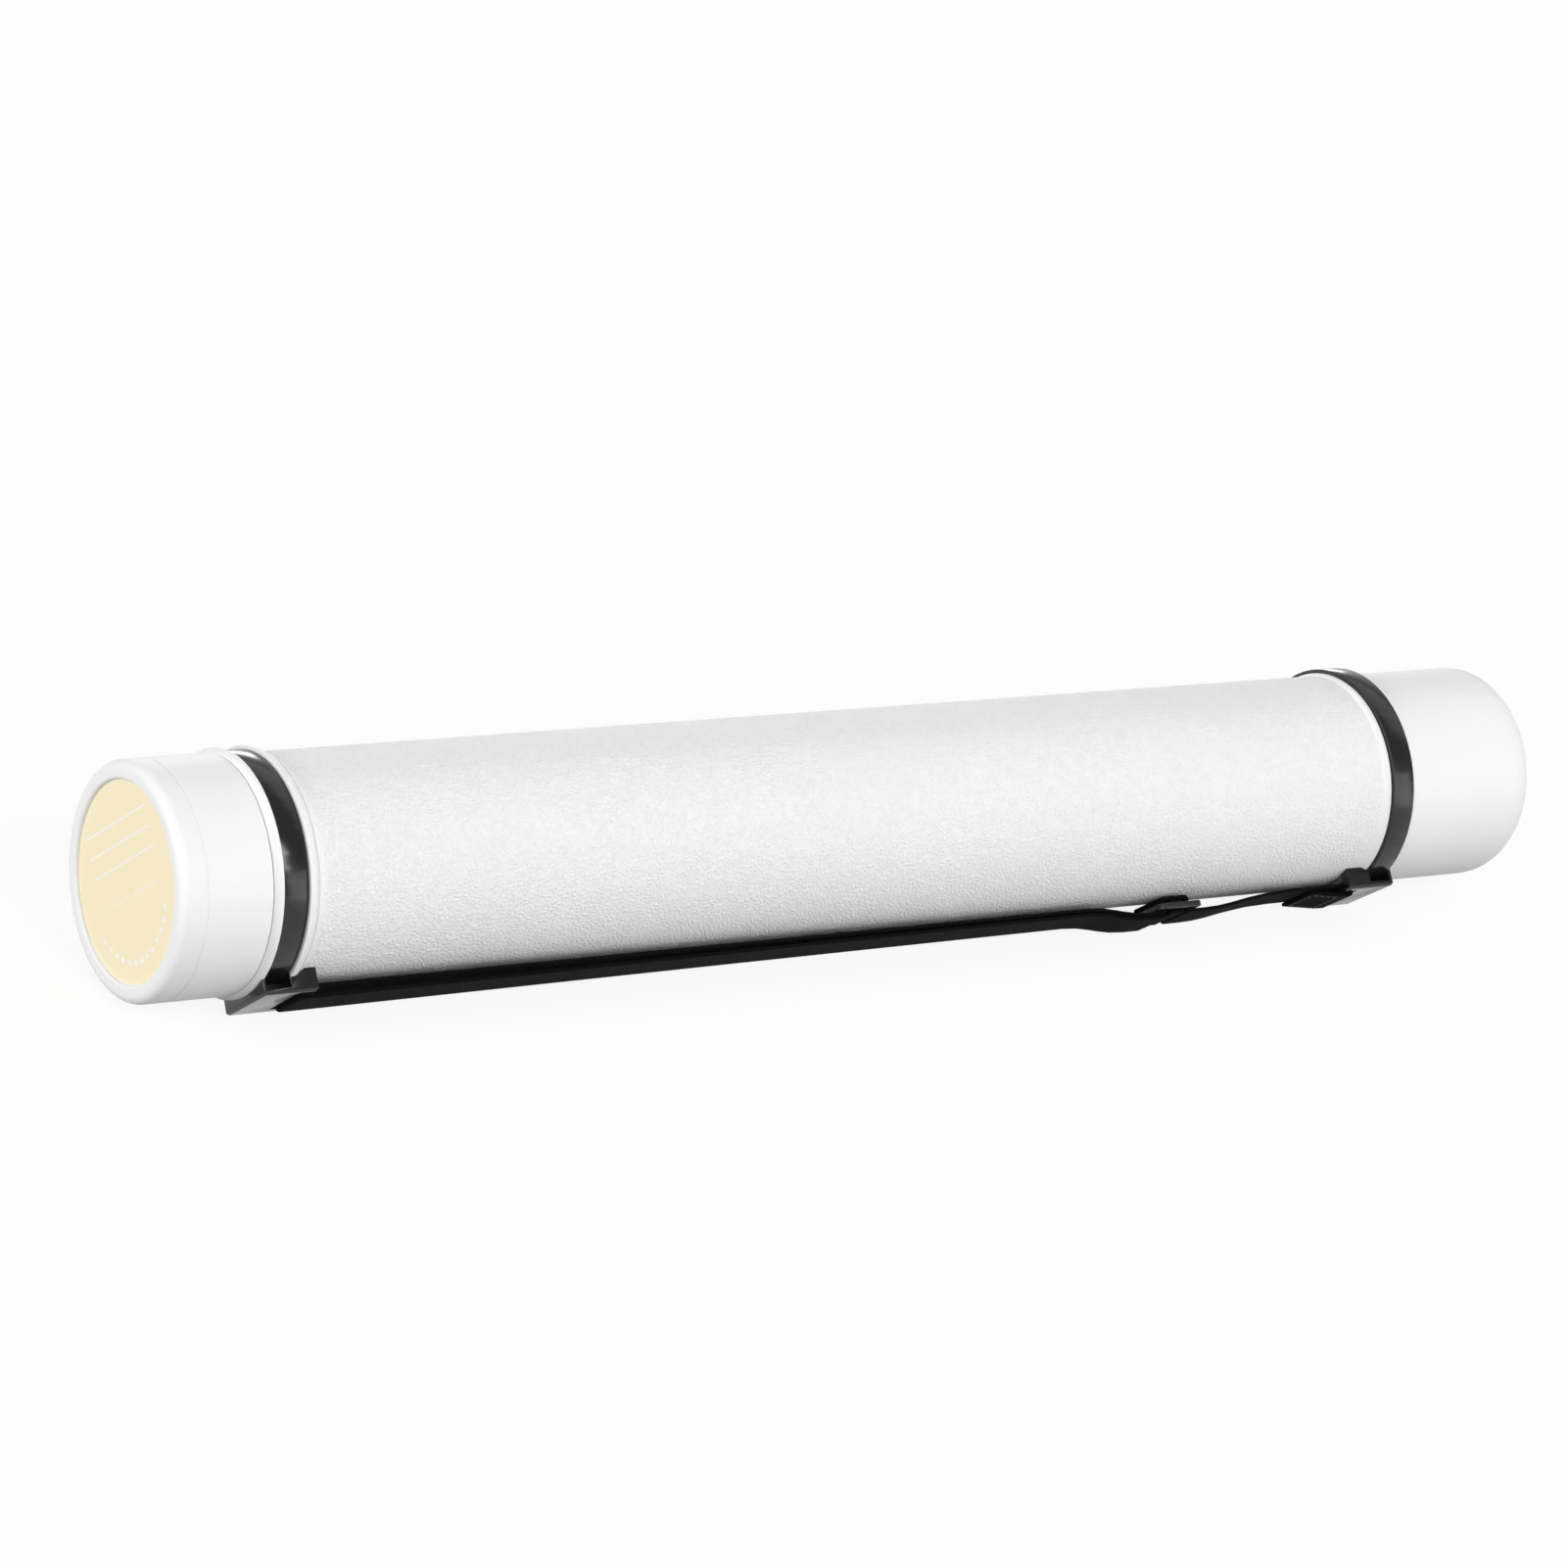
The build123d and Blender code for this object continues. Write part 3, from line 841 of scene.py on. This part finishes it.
def make_bands_and_slider():
    """Both bands in glossy black plastic and the slider in satin black plastic."""
    gloss = make_black_plastic("black_plastic", roughness=0.15, marks=0.08)
    satin = make_black_plastic("slider_plastic", roughness=0.36, marks=0.12)
    front = rounded_copy("front_band", "front_band_moulding", gloss, FRONT_BAND_EDGE, FRONT_RING_RADIUS)
    rear = rounded_copy("rear_band", "rear_band_moulding", gloss, REAR_BAND_EDGE)
    for band in (front, rear):
        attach(band, "tube")
    slider = rounded_copy("strap_slider", "slider_moulding", satin, SLIDER_EDGE)
    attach(slider, "slider")


# Strap

def strap_corners():
    """Line of the strap from its sewn end to the slider's middle bar, as (x, depth) corners."""
    clear = STRAP_FIT + STRAP_THICKNESS / 2
    layer = STRAP_THICKNESS + STRAP_FIT
    slider_x = (SLIDER_LOW.x + SLIDER_HIGH.x) / 2
    slider_length = SLIDER_HIGH.x - SLIDER_LOW.x
    front_bar, rear_bar = FRONT_HIGH.x, REAR_LOW.x
    bar_in, bar_out = BRACKET_INNER_FACE - clear, BRACKET_FACE + clear
    slider_in, slider_out = SLIDER_FACE - clear, SLIDER_FACE + SLIDER_THICKNESS + clear
    front_turn = front_bar - BAR_WIDTH - clear
    rear_turn = rear_bar + BAR_WIDTH + clear
    near, far = SLIDER_BAR / 2 + clear, SLIDER_BAR / 2 + SLIDER_SLOT - clear
    under, over = slider_in - layer, slider_out + layer
    close_x, drawn_x = slider_x - FRONT_RISE, (front_turn + slider_x) / 2
    round_rear_bar = [
        (rear_bar - SEWN_LENGTH, bar_in + layer), (rear_bar, bar_out), (rear_turn, bar_out),
        (rear_turn, bar_in), (slider_x + REAR_RISE, bar_in),
    ]
    through_slider = [
        (slider_x + slider_length, slider_out), (slider_x + far, slider_out), (slider_x + far, under),
        (slider_x - far, under), (slider_x - far, slider_out), (slider_x - slider_length, slider_out),
    ]
    round_front_bar = [
        (close_x, bar_in), (front_turn, bar_in), (front_turn, bar_out), (front_bar, bar_out),
        (drawn_x, bar_in + layer + STRAP_SAG), (close_x, bar_in + layer + STRAP_FIT),
    ]
    round_middle_bar = [
        (slider_x - slider_length, over), (slider_x - far, over), (slider_x - near, slider_out),
        (slider_x + near, slider_out), (slider_x + near, slider_in), (slider_x - near, slider_in),
        (slider_x - near, slider_out - clear),
    ]
    return round_rear_bar + through_slider + round_front_bar + round_middle_bar


def strap_line(corners):
    """Middle line of the strap.

    Sharp corners get a tight bend, gentle ones as wide a bend as their runs allow.
    """
    rounded = [(*corners[0], 0)]
    for before, here, after in zip(corners, corners[1:], corners[2:]):
        into, out = np.subtract(here, before), np.subtract(after, here)
        shorter = min(np.linalg.norm(into), np.linalg.norm(out))
        turn = acos(np.clip(into @ out / np.linalg.norm(into) / np.linalg.norm(out), -1, 1))
        wide = WIDE_BEND_SHARE * shorter / tan(turn / 2) if turn > radians(STRAIGHT_TURN) else 0
        rounded.append((*here, TIGHT_BEND if turn > radians(SHARP_TURN) else wide))
    rounded.append((*corners[-1], 0))
    line = rounded_line(rounded, arc_step=radians(9), support=0)
    lengths = np.linalg.norm(np.diff(line, axis=0), axis=1)
    line = line[np.concatenate([[True], lengths > NEARLY])]
    lengths = lengths[lengths > NEARLY]
    pieces = [line[:1]]
    for start, end, length in zip(line, line[1:], lengths):
        count = ceil(length / STRAP_STEP)
        share = np.arange(1, count + 1)[:, None] / count
        pieces.append(start + share * (end - start))
    return np.concatenate(pieces)


def strap_section():
    """Section of the webbing as (across, thickness) points: two flat sides and two round edges."""
    half_width, half_thick = STRAP_WIDTH / 2, STRAP_THICKNESS / 2
    edge = np.linspace(-pi / 2, pi / 2, 7)
    flat = np.linspace(-1, 1, 13)[1:-1] * (half_width - half_thick)
    right = np.stack([half_width - half_thick + half_thick * np.cos(edge), half_thick * np.sin(edge)], axis=1)
    top = np.stack([flat[::-1], np.full(len(flat), half_thick)], axis=1)
    return np.concatenate([right, top, -right, -top])


def make_strap(corners):
    """Webbing along the strap's line: a flat section with round edges carried along it.

    Each ring is the line's point + across * width + normal * thickness.
    """
    line = strap_line(corners)
    steps = np.diff(line, axis=0)
    tangent = np.concatenate([steps[:1], steps[:-1] + steps[1:], steps[-1:]])
    tangent /= np.linalg.norm(tangent, axis=1, keepdims=True)
    normal = np.stack([-tangent[:, 1], tangent[:, 0]], axis=1)
    section = strap_section()
    x = line[:, 0:1] + normal[:, 0:1] * section[None, :, 1]
    depth = line[:, 1:2] + normal[:, 1:2] * section[None, :, 1]
    across = np.repeat(section[None, :, 0], len(line), axis=0)
    rows, columns = x.shape
    faces = grid_faces(rows, columns)[:, ::-1].tolist()
    ring = np.arange(columns)
    faces += [ring[::-1].tolist(), (ring + (rows - 1) * columns).tolist()]
    strap = new_piece("webbing_strap", hung(x, depth, across).reshape(-1, 3), faces, make_webbing())
    map_threads(strap, line, section)
    follow_slider(strap)
    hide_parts("carrying_strap")


def map_threads(strap, line, section):
    """Map of the strap in threads: lengths along its line and round its section over the threads' pitch."""
    length, around = (
        np.concatenate([[0], np.cumsum(np.linalg.norm(np.diff(points, axis=0), axis=1))])
        for points in (line, section)
    )
    u = np.repeat(length / WEAVE_ALONG, len(section))
    v = np.tile(around / WEAVE_ACROSS, len(line))
    corner_vertex = np.zeros(len(strap.data.loops), dtype=np.int32)
    strap.data.loops.foreach_get("vertex_index", corner_vertex)
    weave_map = strap.data.uv_layers.new(name="threads")
    weave_map.data.foreach_set("uv", np.stack([u[corner_vertex], v[corner_vertex]], axis=1).ravel())


def follow_slider(strap):
    """Bakes the strap's place into its mesh and leaves the object at the origin.
    """
    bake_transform(strap)


def make_stitches(corners):
    """Box of stitches on the strap's sewn end: grains of thread half sunk into the webbing.

    A grain is an ellipsoid: (length * cos(a), girth * sin(a) * cos(b), girth * sin(a) * sin(b)).
    """
    (end_x, end_depth), (bar_x, bar_depth) = corners[:2]
    start, stop = end_x + STITCH_MARGIN, bar_x - STITCH_MARGIN
    side = STRAP_WIDTH / 2 - STITCH_MARGIN
    long_places = np.arange(start + STITCH_PITCH / 2, stop, STITCH_PITCH)
    cross_places = np.arange(-side + STITCH_PITCH / 2, side, STITCH_PITCH)
    spots = [(x, edge, 0.0) for edge in (-side, side) for x in long_places]
    spots += [(x, across, 1.0) for x in (start, stop) for across in cross_places]
    x0, across0, crosswise = np.array(spots).T[:, :, None]
    a = np.linspace(0, pi, STITCH_RINGS)[:, None]
    b = np.linspace(0, 2 * pi, STITCH_SIDES, endpoint=False)[None, :]
    along = (STITCH_HALF_LENGTH * np.cos(a) + 0 * b).ravel()[None, :]
    beside = (STITCH_GIRTH * np.sin(a) * np.cos(b)).ravel()[None, :]
    high = (STITCH_GIRTH * np.sin(a) * np.sin(b)).ravel()[None, :]
    x = x0 + np.where(crosswise > 0, beside, along)
    across = across0 + np.where(crosswise > 0, along, beside)
    slope = (bar_depth - end_depth) / (bar_x - end_x)
    depth = end_depth + slope * (x - end_x) + STRAP_THICKNESS / 2 + high
    count, size = x.shape
    quads = grid_faces(STITCH_RINGS, STITCH_SIDES)[None, :, :] + (np.arange(count) * size)[:, None, None]
    places = hung(x, depth, across).reshape(-1, 3)
    stitches = new_piece(
        "sewn_stitches", places, quads.reshape(-1, 4), make_sewing_thread(), merge=MERGE_WITHIN)
    with opened(stitches.data) as work:
        bmesh.ops.recalc_face_normals(work, faces=work.faces)
    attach(stitches, "tube")


# Stage

def make_pale_floor():
    """Floor that is white where it is seen directly or in a gloss, and keeps the shadow."""
    material = bpy.data.materials.new("pale_floor")
    material.use_nodes = True
    tree = material.node_tree
    tree.nodes.clear()
    paint = tree.nodes.new("ShaderNodeBsdfDiffuse")
    paint.inputs["Color"].default_value = (FLOOR_BOUNCE, FLOOR_BOUNCE, FLOOR_BOUNCE, 1)
    shadowed = tree.nodes.new("ShaderNodeBsdfDiffuse")
    shadowed.inputs["Color"].default_value = (1, 1, 1, 1)
    glow = tree.nodes.new("ShaderNodeEmission")
    white = tree.nodes.new("ShaderNodeMixShader")
    white.inputs["Fac"].default_value = 1 - FLOOR_SHADOW
    path = tree.nodes.new("ShaderNodeLightPath")
    reflected = math_node(tree, "MAXIMUM", path.outputs["Is Glossy Ray"], path.outputs["Is Transmission Ray"])
    seen = math_node(tree, "MAXIMUM", path.outputs["Is Camera Ray"], reflected)
    mix = tree.nodes.new("ShaderNodeMixShader")
    result = tree.nodes.new("ShaderNodeOutputMaterial")
    tree.links.new(shadowed.outputs["BSDF"], white.inputs[1])
    tree.links.new(glow.outputs["Emission"], white.inputs[2])
    tree.links.new(seen, mix.inputs["Fac"])
    tree.links.new(paint.outputs["BSDF"], mix.inputs[1])
    tree.links.new(white.outputs["Shader"], mix.inputs[2])
    tree.links.new(mix.outputs["Shader"], result.inputs["Surface"])
    return material


def make_floor():
    """Wide pale floor that the tube lies on."""
    corners = [(-1, -1), (1, -1), (1, 1), (-1, 1)]
    places = np.array([(FLOOR_HALF * x, FLOOR_HALF * y, FLOOR_Z) for x, y in corners])
    floor = new_piece("floor", places, [(0, 1, 2, 3)], make_pale_floor())


def make_world():
    """Soft room light: pale at the horizon and dimmer overhead."""
    world = bpy.data.worlds.new("soft room")
    bpy.context.scene.world = world
    world.use_nodes = True
    tree = world.node_tree
    background = tree.nodes["Background"]
    place = tree.nodes.new("ShaderNodeTexCoord")
    split = tree.nodes.new("ShaderNodeSeparateXYZ")
    ramp = tree.nodes.new("ShaderNodeValToRGB")
    stops = ramp.color_ramp.elements
    while len(stops) < len(ROOM_LIGHT):
        stops.new(0.5)
    for stop, (height, brightness) in zip(stops, ROOM_LIGHT):
        stop.position = height
        stop.color = (brightness, brightness, brightness, 1)
    tree.links.new(place.outputs["Generated"], split.inputs[0])
    tree.links.new(split.outputs["Z"], ramp.inputs["Fac"])
    tree.links.new(ramp.outputs["Color"], background.inputs["Color"])


def add_softbox(box):
    """Rectangular lamp aimed at the middle of the tube."""
    middle = Vector(((TUBE_LOW.x + TUBE_HIGH.x) / 2, 0, 0))
    yaw, pitch = radians(box.yaw), radians(box.pitch)
    away = upright((-sin(yaw) * cos(pitch), -cos(yaw) * cos(pitch), sin(pitch)))
    lamp = bpy.data.lights.new(box.name, "AREA")
    lamp.shape = "RECTANGLE"
    lamp.size, lamp.size_y = box.width, box.height
    lamp.energy = box.power
    aim = away.to_track_quat("Z", "Y").to_matrix().to_4x4()
    add_object(box.name, lamp).matrix_world = Matrix.Translation(middle + box.distance * away) @ aim


def add_camera():
    """Camera at the photograph's viewing angle: its axes are worked out upright and turned about the tube."""
    yaw, pitch = radians(CAMERA_YAW), radians(CAMERA_PITCH)
    forward = Vector((sin(yaw) * cos(pitch), cos(yaw) * cos(pitch), -sin(pitch)))
    right = Vector((cos(yaw), -sin(yaw), 0))
    axes = [upright(axis) for axis in (right, right.cross(forward), -forward)]
    place = upright(CAMERA_AIM - CAMERA_DISTANCE * forward)
    camera = add_object("camera", bpy.data.cameras.new("camera"))
    camera.data.lens = CAMERA_LENS
    camera.data.sensor_width = CAMERA_SENSOR
    camera.data.clip_end = CAMERA_CLIP
    camera.matrix_world = Matrix.Translation(place) @ Matrix(axes).transposed().to_4x4()
    bpy.context.scene.camera = camera


make_tube()
make_cap()
dress_label()
make_bands_and_slider()
strap_route = strap_corners()
make_strap(strap_route)
make_stitches(strap_route)
make_floor()
make_world()
for softbox in SOFTBOXES:
    add_softbox(softbox)
add_camera()
bpy.context.scene.view_settings.view_transform = "Standard"
